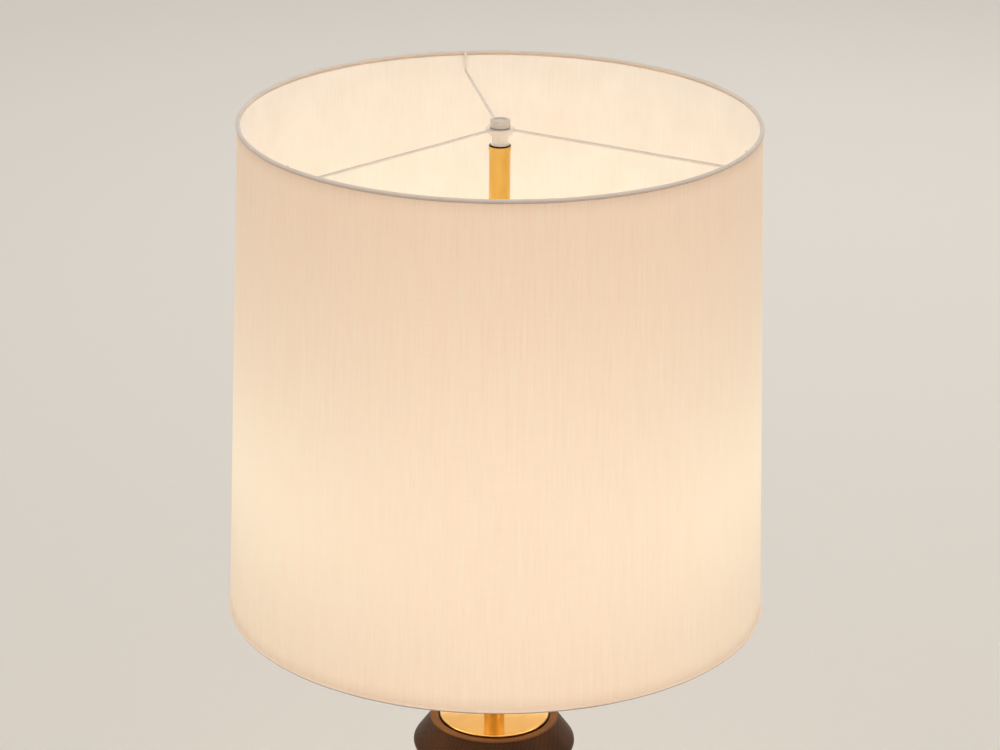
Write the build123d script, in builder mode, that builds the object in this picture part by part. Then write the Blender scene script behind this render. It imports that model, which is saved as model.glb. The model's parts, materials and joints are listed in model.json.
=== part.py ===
from build123d import *
import os
from math import acos, atan2, cos, degrees, hypot, radians, sin

os.makedirs("parts", exist_ok=True)

# Table lamp: a turned base, a brass column, two bulbs in a cluster and a fabric drum
# shade on a wire spider. +Z is up, the table is z = 0, the sockets point along X and
# the front of the lamp faces -Y.

# ---------------------------------------------------------------- driving dimensions
# shade
shade_top_d = 389.0  # centreline diameter of the top ring wire
shade_bottom_d = 412.4  # centreline diameter of the bottom ring wire
shade_drop = 385.0  # ring plane to ring plane
trim_d = 3.7  # rolled trim over each ring wire
ring_wire_d = 2.2
liner_wall = 0.5
fabric_wall = 0.6
sheet_gap = 0.05  # edge of the sheets to the trims

# spider and its fixings
spider_wire_d = 2.2
spider_arms_count = 3
spider_first_arm = 98.4  # degrees from +X to the arm at the back
spider_dip = 14.0  # ring plane down to the bend near the wall
spider_bend_r = 4.0
hub_d = 21.5
hub_thickness = 2.2
hub_round = 0.5
hub_below_rim = 5.3  # ring plane down to the middle of the hub washer
cap_d = 15.3
cap_height = 5.8
cap_dish_d = 10.6
cap_dish_depth = 0.7
cap_skin = 1.2  # metal left over the blind threaded hole
cap_gap = 0.15  # cap nut to hub washer
collar_d = 17.0
collar_height = 3.2
neck_d = 12.0
neck_height = 7.8
neck_foot_d = 13.6
neck_foot_height = 1.3
seat_round = 0.5
cap_round = 0.6
stud_d = 6.0

# column
tube_d = 16.0
tube_wall = 1.0
riser_plug_height = 10.0
plug_rim = 4.2  # the top plug's visible rim above the tube
plug_rim_d = 16.8
plug_round = 1.2
pipe_d = 10.0
pipe_wall = 1.25
pipe_end = 2.0  # thread past each nut
nut_across_flats = 14.0
nut_height = 4.0
washer_d = 28.0
washer_thickness = 1.5
bush_height = 6.0

# base
base_height = 310.0  # table to the lip
lip_to_shade = 103.0  # lip up to the bottom ring plane
lip_d = 101.0
lip_edge_height = 2.1  # upright edge under the lip
shoulder_d = 127.6
shoulder_below_lip = 21.9
shoulder_round = 4.5
under_round = 5.0
under_turn = 42.0  # degrees that the lower round turns in
waist_d = 60.0
waist_z = 190.0
foot_d = 190.0
foot_edge_height = 20.0  # upright edge, from the felt up
foot_round = 20.0
foot_turn = 58.0  # degrees that the foot's round turns
foot_corner = 1.5
lip_round = 0.8
lip_width = 6.5  # flat lip round the disc's pocket
disc_thickness = 4.0
disc_proud = 1.5  # disc above the lip
disc_gap = 1.0
disc_edge = 0.5
felt_thickness = 2.0
felt_inset = 3.0  # foot's edge in to the felt's edge
cover_thickness = 2.0
foot_wall = 25.0  # wood left round the recess
recess_depth = 26.0
weight_thickness = 14.0
weight_bore_d = 44.0
screw_d = 4.0
screw_head_d = 8.0
screw_head_height = 2.4
screw_grip = 12.0  # thread in the wood
screws_count = 3
inlet_d = 6.6
inlet_bush_d = 9.0
inlet_flange_d = 13.0
inlet_flange_thickness = 1.8
inlet_flush = 0.2  # flange below the foot's edge
inlet_round = 0.6
inlet_above_cover = 1.2  # cover to the underside of the inlet bush

# cluster and sockets
bulb_above_shade = 100.0  # bottom ring plane up to the bulbs' axis
cluster_d = 36.0
cluster_wall = 4.0
cluster_floor = 4.0
cluster_round = 3.0
cover_round = 1.5
cluster_below_axis = 22.0
cluster_above_axis = 18.0
cover_lid = 3.0
cover_spigot = 5.0
nipple_reach = 7.0  # nipple past the cap's back wall
cluster_to_socket = 2.0
nipple_inside = 1.0  # nipple past the cluster's inner wall
socket_cap_length = 22.0
socket_cap_back_d = 17.0
socket_cap_round = 9.0
socket_cap_wall = 1.0
socket_back_wall = 2.0
socket_shell_length = 44.0
socket_shell_wall = 0.6
shell_in_cap = 5.0
core_from_cap = 11.0
core_length = 16.0
core_rim = 0.92  # core past the screw shell, each side
core_room = 0.4  # core to the liner, each side
socket_liner_wall = 0.4
screw_shell_length = 24.0
screw_shell_wall = 0.4
contact_height = 2.9
shell_bead_length = 1.6
shell_bead_height = 0.6
liner_setback = 2.0  # liner's edge inside the shell's mouth
chain_from_cap = 12.0
spout_length = 8.0
spout_d = 7.0
spout_mouth_d = 9.0
spout_bore_d = 4.6
spout_lip = 0.6
spout_inside = 0.8  # spout past the cap's inner wall
ball_d = 3.2
ball_pitch = 4.4
chain_link_d = 1.0
chain_top_below_axis = 4.0
balls_count = 24
bell_d = 8.5
bell_height = 15.0

# bulb
bulb_base_d = 26.2
bulb_base_length = 20.0
bulb_base_wall = 0.4
bulb_tip_d = 9.0
bulb_tip_length = 1.5
bulb_cone_length = 3.0
bulb_neck_length = 12.0
bulb_neck_step = 0.6  # neck proud of the screw base
bulb_d = 60.0
bulb_housing_length = 34.0
bulb_wall = 1.4
bulb_cone_wall = 0.6
housing_plug_length = 10.0
globe_seam_back = 10.0  # widest point of the globe back to its seam
led_board_thickness = 1.6
led_ledge = 1.0  # step in the housing under the board
led_size = 3.0
led_height = 0.8
led_circle_d = 32.0
leds_count = 10
lead_d = 2.4
lead_spacing = 3.8
splice_d = 3.5
splice_length = 12.0
lead_gap = 3.0  # between the two ends inside a splice
pull_pin = 3.0  # chain's link inside the bell

# clearances
slip = 0.05  # turned fits, each side
thread_slip = 0.08  # bulb in its screw shell, each side
loose = 0.3  # pipe and screws through their holes, each side
contact_gap = 0.1  # bulb's tip to the socket's contact

# ---------------------------------------------------------------- levels and radii
foot_z = felt_thickness
bottom_ring_z = base_height + lip_to_shade
top_ring_z = bottom_ring_z + shade_drop
bulb_z = bottom_ring_z + bulb_above_shade
trim_r = trim_d / 2
tube_bore_r = tube_d / 2 - tube_wall
pipe_r = pipe_d / 2
pipe_bore_r = pipe_r - pipe_wall
stud_r = stud_d / 2

hub_z = top_ring_z - hub_below_rim
hub_low = hub_z - hub_thickness / 2
hub_high = hub_z + hub_thickness / 2
cap_low = hub_high + cap_gap
cap_high = cap_low + cap_height
collar_low = hub_low - collar_height
plug_top = collar_low - neck_height
riser_top = plug_top - plug_rim

foot_r = foot_d / 2
recess_r = foot_r - foot_wall
screw_circle_r = (recess_r + weight_bore_d / 2) / 2
recess_top = foot_z + recess_depth
cover_top = foot_z + cover_thickness
weight_low = recess_top - weight_thickness
inlet_z = cover_top + inlet_above_cover + inlet_bush_d / 2
base_nut_top = recess_top - washer_thickness

cluster_low = bulb_z - cluster_below_axis
cluster_high = bulb_z + cluster_above_axis
cluster_floor_z = cluster_low + cluster_floor
cluster_bore_r = cluster_d / 2 - cluster_wall
riser_low = cluster_high + cover_lid

cap_x = cluster_d / 2 + cluster_to_socket
cap_end_x = cap_x + socket_cap_length
base_r = bulb_base_d / 2
screw_bore_r = base_r + thread_slip
screw_shell_r = screw_bore_r + screw_shell_wall
core_r = screw_shell_r + core_rim
socket_liner_r = core_r + core_room + socket_liner_wall
shell_bore_r = socket_liner_r + slip
shell_r = shell_bore_r + socket_shell_wall
cap_bore_r = shell_r + slip
socket_cap_r = cap_bore_r + socket_cap_wall
shell_x = cap_end_x - shell_in_cap
shell_end_x = shell_x + socket_shell_length
core_x = cap_x + core_from_cap
core_end_x = core_x + core_length
tip_x = core_end_x + contact_height + contact_gap
chain_x = cap_x + chain_from_cap

base_x = tip_x + bulb_tip_length + bulb_cone_length
neck_x = base_x + bulb_base_length
housing_x = neck_x + bulb_neck_length
seam_x = housing_x + bulb_housing_length
globe_r = bulb_d / 2
globe_x = seam_x + globe_seam_back
seam_r = (globe_r**2 - globe_seam_back**2) ** 0.5

lamp_axis = Axis.Z


def keep(part, name):
    """Labels a finished piece and writes it as its own file."""
    part.label = name
    export_step(part, f"parts/{name}.step")


def shade_radius(z):
    """Centreline radius of the shade wall at a height."""
    share = (top_ring_z - z) / shade_drop
    return (shade_top_d + (shade_bottom_d - shade_top_d) * share) / 2


# ---------------------------------------------------------------- helpers
def outline(points, plane=Plane.XZ):
    """A closed face through points given as (distance, height) on the plane."""
    with BuildSketch(plane) as flat:
        with BuildLine():
            Polyline(*points, close=True)
        make_face()
    return flat.sketch


def ring(inner_r, outer_r, low, high):
    """The section of a plain ring or disc that is turned about the lamp's axis."""
    return outline([(inner_r, low), (outer_r, low), (outer_r, high), (inner_r, high)])


def sleeve(plane, inner_r, outer_r, start, end):
    """The section of a plain ring that is turned about a socket's axis."""
    return outline([(start, inner_r), (start, outer_r), (end, outer_r), (end, inner_r)], plane)


def tangent_angle(point, centre, radius):
    """Angle on a circle where a line from an outside point leaves it, clockwise side."""
    dx = point[0] - centre[0]
    dz = point[1] - centre[1]
    return degrees(atan2(dz, dx) - acos(radius / hypot(dx, dz)))


def on_circle(centre, radius, angle):
    """Point of a circle at an angle in degrees."""
    return (centre[0] + radius * cos(radians(angle)), centre[1] + radius * sin(radians(angle)))


# ---------------------------------------------------------------- base
# The body is turned from one blank: a flat lip with an upright edge, a bevel that runs
# tangent into a round shoulder, a hollow waist and a flared foot with an upright edge.
shoulder_z = base_height - shoulder_below_lip
lip = (lip_d / 2, base_height)
lip_foot = (lip_d / 2, base_height - lip_edge_height)
shoulder_centre = (shoulder_d / 2 - shoulder_round, shoulder_z)
under_centre = (shoulder_d / 2 - under_round, shoulder_z)
bevel_angle = tangent_angle(lip_foot, shoulder_centre, shoulder_round)
bevel_end = on_circle(shoulder_centre, shoulder_round, bevel_angle)
under_end = on_circle(under_centre, under_round, -under_turn)
under_way = (-sin(radians(under_turn)), -cos(radians(under_turn)))
foot_centre = (foot_r - foot_round, foot_z + foot_edge_height)
foot_top = on_circle(foot_centre, foot_round, foot_turn)
foot_way = (sin(radians(foot_turn)), -cos(radians(foot_turn)))
disc_top = base_height + disc_proud
disc_floor = disc_top - disc_thickness
disc_pocket_r = lip_d / 2 - lip_width
disc_r = disc_pocket_r - disc_gap
pipe_hole_r = pipe_r + loose
inlet_seat_y = foot_r - inlet_flange_thickness - inlet_flush
back_of_foot = Plane(origin=(0, 0, inlet_z), x_dir=(1, 0, 0), z_dir=(0, 1, 0))

with BuildPart() as base_body:
    with BuildSketch(Plane.XZ):
        with BuildLine():
            Polyline(lip, lip_foot, bevel_end)
            CenterArc(shoulder_centre, shoulder_round, bevel_angle, -bevel_angle)
            CenterArc(under_centre, under_round, 0, -under_turn)
            Spline(under_end, (waist_d / 2, waist_z), foot_top, tangents=[under_way, foot_way])
            CenterArc(foot_centre, foot_round, foot_turn, -foot_turn)
            Polyline(
                (foot_r, foot_centre[1]),
                (foot_r, foot_z),
                (recess_r, foot_z),
                (recess_r, recess_top),
                (pipe_hole_r, recess_top),
                (pipe_hole_r, disc_floor),
                (disc_pocket_r, disc_floor),
                (disc_pocket_r, base_height),
                lip,
            )
        make_face()
    revolve(axis=lamp_axis)
    fillet(base_body.edges().group_by(Axis.Z)[-1], lip_round)
    fillet(base_body.edges().group_by(Axis.Z)[0].sort_by(SortBy.RADIUS)[-1], foot_corner)
    with BuildSketch(back_of_foot.offset(recess_r - inlet_flange_d)):
        Circle(inlet_bush_d / 2 + slip)
    extrude(amount=foot_r, mode=Mode.SUBTRACT)
    with BuildSketch(back_of_foot.offset(inlet_seat_y)):
        Circle(inlet_flange_d / 2 + slip)
    extrude(amount=foot_r, mode=Mode.SUBTRACT)
    with BuildSketch(Plane.XY.offset(recess_top)):
        with PolarLocations(screw_circle_r, screws_count):
            Circle(screw_d / 2)
    extrude(amount=screw_grip, mode=Mode.SUBTRACT)
keep(base_body.part, "base_body")

with BuildPart() as seat_plate:
    revolve(ring(pipe_hole_r, disc_r, disc_floor, disc_top), axis=lamp_axis)
    chamfer(seat_plate.edges().group_by(Axis.Z)[-1].sort_by(SortBy.RADIUS)[-1], disc_edge)
keep(seat_plate.part, "seat_plate")

with BuildPart() as base_weight:
    revolve(ring(weight_bore_d / 2, recess_r - loose, weight_low, recess_top), axis=lamp_axis)
    with BuildSketch(Plane.XY.offset(weight_low)):
        with PolarLocations(screw_circle_r, screws_count):
            Circle(screw_d / 2 + loose)
    extrude(amount=weight_thickness, mode=Mode.SUBTRACT)
keep(base_weight.part, "base_weight")

with BuildPart() as weight_screws:
    with BuildSketch(Plane.XY.offset(weight_low - screw_head_height)):
        with PolarLocations(screw_circle_r, screws_count):
            Circle(screw_head_d / 2)
    extrude(amount=screw_head_height)
    with BuildSketch(Plane.XY.offset(weight_low)):
        with PolarLocations(screw_circle_r, screws_count):
            Circle(screw_d / 2)
    extrude(amount=weight_thickness + screw_grip)
keep(weight_screws.part, "weight_screws")

with BuildPart() as bottom_cover:
    with BuildSketch(Plane.XY.offset(foot_z)):
        Circle(recess_r - loose)
    extrude(amount=cover_thickness)
keep(bottom_cover.part, "bottom_cover")

with BuildPart() as felt_pad:
    with BuildSketch(Plane.XY):
        Circle(foot_r - felt_inset)
    extrude(amount=felt_thickness)
keep(felt_pad.part, "felt_pad")

with BuildPart() as cord_bush:
    with BuildSketch(back_of_foot.offset(recess_r)):
        Circle(inlet_bush_d / 2)
    extrude(amount=inlet_seat_y - recess_r)
    with BuildSketch(back_of_foot.offset(inlet_seat_y)):
        Circle(inlet_flange_d / 2)
    extrude(amount=inlet_flange_thickness)
    with BuildSketch(back_of_foot.offset(recess_r)):
        Circle(inlet_d / 2)
    extrude(amount=foot_r, mode=Mode.SUBTRACT)
    fillet(cord_bush.edges().group_by(Axis.Y)[-1], inlet_round)
keep(cord_bush.part, "cord_bush")

# ---------------------------------------------------------------- column
base_nut_low = base_nut_top - nut_height
cluster_nut_low = cluster_floor_z
spigot_low = cluster_high - cover_spigot
cover_nut_low = spigot_low - nut_height

with BuildPart() as lamp_pipe:
    pipe_low = base_nut_low - pipe_end
    pipe_high = cluster_nut_low + nut_height + pipe_end
    revolve(ring(pipe_bore_r, pipe_r, pipe_low, pipe_high), axis=lamp_axis)
keep(lamp_pipe.part, "lamp_pipe")

with BuildPart() as pipe_washer:
    revolve(ring(pipe_hole_r, washer_d / 2, base_nut_top, recess_top), axis=lamp_axis)
keep(pipe_washer.part, "pipe_washer")

with BuildPart() as locknuts:
    for nut_low in (base_nut_low, cluster_nut_low, cover_nut_low):
        with BuildSketch(Plane.XY.offset(nut_low)):
            RegularPolygon(nut_across_flats / 2, 6, major_radius=False)
            Circle(pipe_r, mode=Mode.SUBTRACT)
        extrude(amount=nut_height)
keep(locknuts.part, "locknuts")

with BuildPart() as lower_tube:
    revolve(ring(tube_bore_r, tube_d / 2, disc_top, cluster_low), axis=lamp_axis)
keep(lower_tube.part, "lower_tube")

with BuildPart() as tube_bushes:
    for bush_low in (disc_top, cluster_low - bush_height):
        bush = ring(pipe_r + slip, tube_bore_r - slip, bush_low, bush_low + bush_height)
        revolve(bush, axis=lamp_axis)
keep(tube_bushes.part, "tube_bushes")

with BuildPart() as cluster_body:
    revolve(ring(pipe_r + slip, cluster_d / 2, cluster_low, cluster_floor_z), axis=lamp_axis)
    revolve(ring(cluster_bore_r, cluster_d / 2, cluster_floor_z, cluster_high), axis=lamp_axis)
    with BuildSketch(Plane.YZ.offset(-cluster_d)):
        with Locations((0, bulb_z)):
            Circle(pipe_r)
    extrude(amount=2 * cluster_d, mode=Mode.SUBTRACT)
    fillet(cluster_body.edges().group_by(Axis.Z)[0].sort_by(SortBy.RADIUS)[-1], cluster_round)
keep(cluster_body.part, "cluster_body")

with BuildPart() as cluster_cover:
    revolve(ring(pipe_r + slip, cluster_d / 2, cluster_high, riser_low), axis=lamp_axis)
    spigot = ring(pipe_r + slip, cluster_bore_r - slip, spigot_low, cluster_high)
    revolve(spigot, axis=lamp_axis)
    fillet(cluster_cover.edges().group_by(Axis.Z)[-1].sort_by(SortBy.RADIUS)[-1], cover_round)
keep(cluster_cover.part, "cluster_cover")

with BuildPart() as riser_nipple:
    nipple_low = cover_nut_low - pipe_end
    revolve(ring(pipe_bore_r, pipe_r, nipple_low, riser_low + riser_plug_height), axis=lamp_axis)
keep(riser_nipple.part, "riser_nipple")

with BuildPart() as riser_foot_plug:
    foot_plug = ring(pipe_r, tube_bore_r - slip, riser_low, riser_low + riser_plug_height)
    revolve(foot_plug, axis=lamp_axis)
keep(riser_foot_plug.part, "riser_foot_plug")

with BuildPart() as riser_tube:
    revolve(ring(tube_bore_r, tube_d / 2, riser_low, riser_top), axis=lamp_axis)
keep(riser_tube.part, "riser_tube")

with BuildPart() as riser_top_plug:
    shank = ring(stud_r, tube_bore_r - slip, riser_top - riser_plug_height, riser_top)
    revolve(shank, axis=lamp_axis)
    revolve(ring(stud_r, plug_rim_d / 2, riser_top, plug_top), axis=lamp_axis)
    fillet(riser_top_plug.edges().group_by(Axis.Z)[-1].sort_by(SortBy.RADIUS)[-1], plug_round)
keep(riser_top_plug.part, "riser_top_plug")

# ---------------------------------------------------------------- shade fixings
thread_depth = cap_height - cap_dish_depth - cap_skin

with BuildPart() as shade_seat:
    neck_foot_top = plug_top + neck_foot_height
    revolve(ring(stud_r + slip, neck_foot_d / 2, plug_top, neck_foot_top), axis=lamp_axis)
    revolve(ring(stud_r + slip, neck_d / 2, neck_foot_top, collar_low), axis=lamp_axis)
    revolve(ring(stud_r + slip, collar_d / 2, collar_low, hub_low), axis=lamp_axis)
    fillet(shade_seat.edges().group_by(Axis.Z)[-1].sort_by(SortBy.RADIUS)[-1], seat_round)
keep(shade_seat.part, "shade_seat")

with BuildPart() as top_stud:
    stud_low = riser_top - riser_plug_height
    stud_high = cap_low + thread_depth - loose
    with BuildSketch(Plane.XY.offset(stud_low)):
        Circle(stud_r)
    extrude(amount=stud_high - stud_low)
keep(top_stud.part, "top_stud")

with BuildPart() as cap_nut:
    cap_profile = [
        (0, cap_low + thread_depth),
        (stud_r + slip, cap_low + thread_depth),
        (stud_r + slip, cap_low),
        (cap_d / 2, cap_low),
        (cap_d / 2, cap_high),
        (cap_dish_d / 2, cap_high),
        (cap_dish_d / 2 - cap_dish_depth, cap_high - cap_dish_depth),
        (0, cap_high - cap_dish_depth),
    ]
    revolve(outline(cap_profile), axis=lamp_axis)
    fillet(cap_nut.edges().group_by(Axis.Z)[-1].sort_by(SortBy.RADIUS)[-1], cap_round)
keep(cap_nut.part, "cap_nut")

# ---------------------------------------------------------------- spider
with BuildPart() as spider_hub:
    revolve(ring(stud_r + slip, hub_d / 2, hub_low, hub_high), axis=lamp_axis)
    fillet(spider_hub.edges().filter_by(GeomType.CIRCLE).sort_by(SortBy.RADIUS)[-2:], hub_round)
keep(spider_hub.part, "spider_hub")

arm_r = spider_wire_d / 2
arm_wall_r = (shade_top_d - ring_wire_d) / 2 - arm_r - slip
arm_angles = [spider_first_arm + i * 360 / spider_arms_count for i in range(spider_arms_count)]

with BuildPart() as spider_arms:
    for angle in arm_angles:
        along = (cos(radians(angle)), sin(radians(angle)), 0)
        spoke = Plane(origin=(0, 0, 0), x_dir=along, z_dir=(along[1], -along[0], 0))
        with BuildLine(spoke) as wire:
            FilletPolyline(
                (hub_d / 2 - arm_r, hub_z),
                (arm_wall_r, top_ring_z - spider_dip),
                (arm_wall_r, top_ring_z + ring_wire_d / 2),
                radius=spider_bend_r,
            )
        with BuildSketch(Plane(origin=wire.line @ 0, z_dir=wire.line % 0)):
            Circle(arm_r)
        sweep(path=wire.line)
    with Locations((0, 0, hub_z)):
        Cylinder(hub_d / 2, 2 * spider_dip, mode=Mode.SUBTRACT)
keep(spider_arms.part, "spider_arms")

# ---------------------------------------------------------------- shade
sheet_top = top_ring_z - trim_r - sheet_gap
sheet_bottom = bottom_ring_z + trim_r + sheet_gap


def shade_sheet(inside, wall):
    """The section of one sheet, from so far outside the wall's centreline outwards."""
    return outline(
        [
            (shade_radius(sheet_bottom) + inside, sheet_bottom),
            (shade_radius(sheet_bottom) + inside + wall, sheet_bottom),
            (shade_radius(sheet_top) + inside + wall, sheet_top),
            (shade_radius(sheet_top) + inside, sheet_top),
        ]
    )


with BuildPart() as shade_liner:
    revolve(shade_sheet(-liner_wall, liner_wall), axis=lamp_axis)
keep(shade_liner.part, "shade_liner")

with BuildPart() as shade_fabric:
    revolve(shade_sheet(0, fabric_wall), axis=lamp_axis)
keep(shade_fabric.part, "shade_fabric")

for where, ring_z in (("top", top_ring_z), ("bottom", bottom_ring_z)):
    with BuildPart() as ring_wire:
        with BuildSketch(Plane.XZ):
            with Locations((shade_radius(ring_z), ring_z)):
                Circle(ring_wire_d / 2)
        revolve(axis=lamp_axis)
    keep(ring_wire.part, f"{where}_ring_wire")

    with BuildPart() as trim:
        with BuildSketch(Plane.XZ):
            with Locations((shade_radius(ring_z), ring_z)):
                Circle(trim_r)
                Circle(ring_wire_d / 2, mode=Mode.SUBTRACT)
        revolve(axis=lamp_axis)
        if where == "top":
            with BuildSketch(Plane.XY.offset(ring_z - trim_d)):
                with PolarLocations(arm_wall_r, spider_arms_count, start_angle=spider_first_arm):
                    Circle(arm_r + slip)
            extrude(amount=2 * trim_d, mode=Mode.SUBTRACT)
    keep(trim.part, f"{where}_trim")

# ---------------------------------------------------------------- cluster wiring
socket_axis_point = (0, 0, bulb_z)

with BuildPart() as side_nipples:
    for side in (-1, 1):
        arm = Plane(origin=socket_axis_point, x_dir=(side, 0, 0), z_dir=(0, -side, 0))
        nipple_end = cap_x + nipple_reach
        nipple = sleeve(arm, pipe_bore_r, pipe_r, cluster_bore_r - nipple_inside, nipple_end)
        revolve(nipple, axis=Axis(socket_axis_point, (side, 0, 0)))
keep(side_nipples.part, "side_nipples")

with BuildPart() as socket_leads:
    for side in (-1, 1):
        with BuildSketch(Plane.YZ.offset(side * lead_gap / 2)):
            with Locations((-lead_spacing / 2, bulb_z), (lead_spacing / 2, bulb_z)):
                Circle(lead_d / 2)
        extrude(amount=side * (core_x - lead_gap / 2))
keep(socket_leads.part, "socket_leads")

with BuildPart() as crimp_splices:
    with BuildSketch(Plane.YZ.offset(-splice_length / 2)):
        with Locations((-lead_spacing / 2, bulb_z), (lead_spacing / 2, bulb_z)):
            Circle(splice_d / 2)
    extrude(amount=splice_length)
    for side in (-1, 1):
        with BuildSketch(Plane.YZ.offset(side * lead_gap / 2)):
            with Locations((-lead_spacing / 2, bulb_z), (lead_spacing / 2, bulb_z)):
                Circle(lead_d / 2)
        extrude(amount=side * splice_length, mode=Mode.SUBTRACT)
keep(crimp_splices.part, "crimp_splices")

# ---------------------------------------------------------------- sockets and bulbs
cap_back_r = socket_cap_back_d / 2
cap_shoulder_x = cap_x + socket_cap_round
diagonal = cos(radians(45))
seam_slope = globe_seam_back / seam_r
board_r = seam_r - bulb_wall - slip
board_x = seam_x - led_board_thickness
base_bore_r = base_r - bulb_base_wall
neck_r = base_r + bulb_neck_step
spout_top = cap_bore_r - spout_inside
spout_low = socket_cap_r + spout_length
chain_end = chain_top_below_axis + (balls_count - 1) * ball_pitch + ball_d / 2
bell_top = chain_end + ball_d / 4
bell_low = bell_top + bell_height

for side, hand in ((-1, "left"), (1, "right")):
    arm = Plane(origin=socket_axis_point, x_dir=(side, 0, 0), z_dir=(0, -side, 0))
    arm_axis = Axis(socket_axis_point, (side, 0, 0))
    drop = Plane(origin=(side * chain_x, 0, bulb_z), x_dir=(1, 0, 0), z_dir=(0, -1, 0))
    drop_axis = Axis((side * chain_x, 0, bulb_z), (0, 0, 1))
    down = Plane(origin=(side * chain_x, 0, bulb_z), x_dir=(1, 0, 0), z_dir=(0, 0, -1))

    with BuildPart() as socket_cap:
        with BuildSketch(arm):
            with BuildLine():
                rise = socket_cap_r - cap_back_r
                Line((cap_x, pipe_r), (cap_x, cap_back_r))
                ThreePointArc(
                    (cap_x, cap_back_r),
                    (cap_shoulder_x - socket_cap_round * diagonal, cap_back_r + rise * diagonal),
                    (cap_shoulder_x, socket_cap_r),
                )
                Polyline(
                    (cap_shoulder_x, socket_cap_r),
                    (cap_end_x, socket_cap_r),
                    (cap_end_x, cap_bore_r),
                    (cap_shoulder_x + socket_cap_wall, cap_bore_r),
                    (cap_x + socket_back_wall, cap_back_r),
                    (cap_x + socket_back_wall, pipe_r),
                    (cap_x, pipe_r),
                )
            make_face()
        revolve(axis=arm_axis)
        with BuildSketch(down.offset(core_r)):
            Circle(spout_d / 2)
        extrude(amount=2 * socket_cap_r, mode=Mode.SUBTRACT)
    keep(socket_cap.part, f"socket_cap_{hand}")

    with BuildPart() as socket_shell:
        bead_x = shell_end_x - shell_bead_length
        shell_profile = [
            (shell_x, shell_bore_r),
            (shell_x, shell_r),
            (bead_x, shell_r),
            (bead_x, shell_r + shell_bead_height),
            (shell_end_x, shell_r + shell_bead_height),
            (shell_end_x, shell_bore_r),
        ]
        revolve(outline(shell_profile, arm), axis=arm_axis)
    keep(socket_shell.part, f"socket_shell_{hand}")

    with BuildPart() as socket_liner:
        liner_bore_r = socket_liner_r - socket_liner_wall
        liner_end_x = shell_end_x - liner_setback
        revolve(sleeve(arm, liner_bore_r, socket_liner_r, shell_x, liner_end_x), axis=arm_axis)
    keep(socket_liner.part, f"socket_liner_{hand}")

    with BuildPart() as socket_core:
        revolve(sleeve(arm, 0, core_r, core_x, core_end_x), axis=arm_axis)
        with BuildSketch(down.offset(chain_top_below_axis - ball_d)):
            Circle(spout_bore_d / 2)
        extrude(amount=2 * socket_cap_r, mode=Mode.SUBTRACT)
    keep(socket_core.part, f"socket_core_{hand}")

    with BuildPart() as screw_shell:
        screw_end_x = core_end_x + screw_shell_length
        screw_profile = [
            (core_end_x, cap_back_r),
            (core_end_x, screw_shell_r),
            (screw_end_x, screw_shell_r),
            (screw_end_x, screw_bore_r),
            (core_end_x + screw_shell_wall, screw_bore_r),
            (core_end_x + screw_shell_wall, cap_back_r),
        ]
        revolve(outline(screw_profile, arm), axis=arm_axis)
    keep(screw_shell.part, f"screw_shell_{hand}")

    with BuildPart() as centre_contact:
        contact_profile = [
            (core_end_x, 0),
            (core_end_x, bulb_tip_d / 2),
            (core_end_x + screw_shell_wall, bulb_tip_d / 2),
            (tip_x - contact_gap, bulb_tip_d / 4),
            (tip_x - contact_gap, 0),
        ]
        revolve(outline(contact_profile, arm), axis=arm_axis)
    keep(centre_contact.part, f"centre_contact_{hand}")

    with BuildPart() as chain_spout:
        spout_profile = [
            (spout_bore_d / 2, -spout_top),
            (spout_d / 2, -spout_top),
            (spout_d / 2, spout_d / 2 - spout_low),
            (spout_mouth_d / 2, -spout_low),
            (spout_mouth_d / 2 - spout_lip, -spout_low),
            (spout_bore_d / 2, spout_d / 2 - spout_low),
        ]
        revolve(outline(spout_profile, drop), axis=drop_axis)
    keep(chain_spout.part, f"chain_spout_{hand}")

    with BuildPart() as pull_chain:
        for i in range(balls_count):
            with Locations((side * chain_x, 0, bulb_z - chain_top_below_axis - i * ball_pitch)):
                Sphere(ball_d / 2)
        with BuildSketch(down.offset(chain_top_below_axis)):
            Circle(chain_link_d / 2)
        extrude(amount=bell_top + pull_pin - chain_top_below_axis)
    keep(pull_chain.part, f"pull_chain_{hand}")

    with BuildPart() as pull_bell:
        with BuildSketch(drop):
            with BuildLine():
                Line((0, -bell_low), (0, -bell_top))
                Line((0, -bell_top), (bell_d / 4, -bell_top))
                Spline(
                    (bell_d / 4, -bell_top),
                    (bell_d / 2, bell_d / 4 - bell_low),
                    tangents=[(0, -1), (0.4, -1)],
                )
                Line((bell_d / 2, bell_d / 4 - bell_low), (bell_d / 2, -bell_low))
                Line((bell_d / 2, -bell_low), (0, -bell_low))
            make_face()
        revolve(axis=drop_axis)
        with BuildSketch(down.offset(bell_top)):
            Circle(chain_link_d / 2)
        extrude(amount=pull_pin, mode=Mode.SUBTRACT)
    keep(pull_bell.part, f"pull_bell_{hand}")

    with BuildPart() as bulb_tip:
        cone_x = base_x - bulb_cone_length
        tip_profile = [
            (tip_x, 0),
            (tip_x, bulb_tip_d / 4),
            (cone_x, bulb_tip_d / 2),
            (base_x, bulb_tip_d / 2),
            (base_x, 0),
        ]
        revolve(outline(tip_profile, arm), axis=arm_axis)
    keep(bulb_tip.part, f"bulb_tip_{hand}")

    with BuildPart() as bulb_screw_base:
        cone_bore = bulb_tip_d / 2
        base_profile = [
            (base_x - bulb_cone_length, cone_bore),
            (base_x, base_r),
            (neck_x, base_r),
            (neck_x, base_bore_r),
            (base_x + bulb_base_wall, base_bore_r),
            (base_x - bulb_cone_length + bulb_cone_wall, cone_bore),
        ]
        revolve(outline(base_profile, arm), axis=arm_axis)
    keep(bulb_screw_base.part, f"bulb_screw_base_{hand}")

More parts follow.
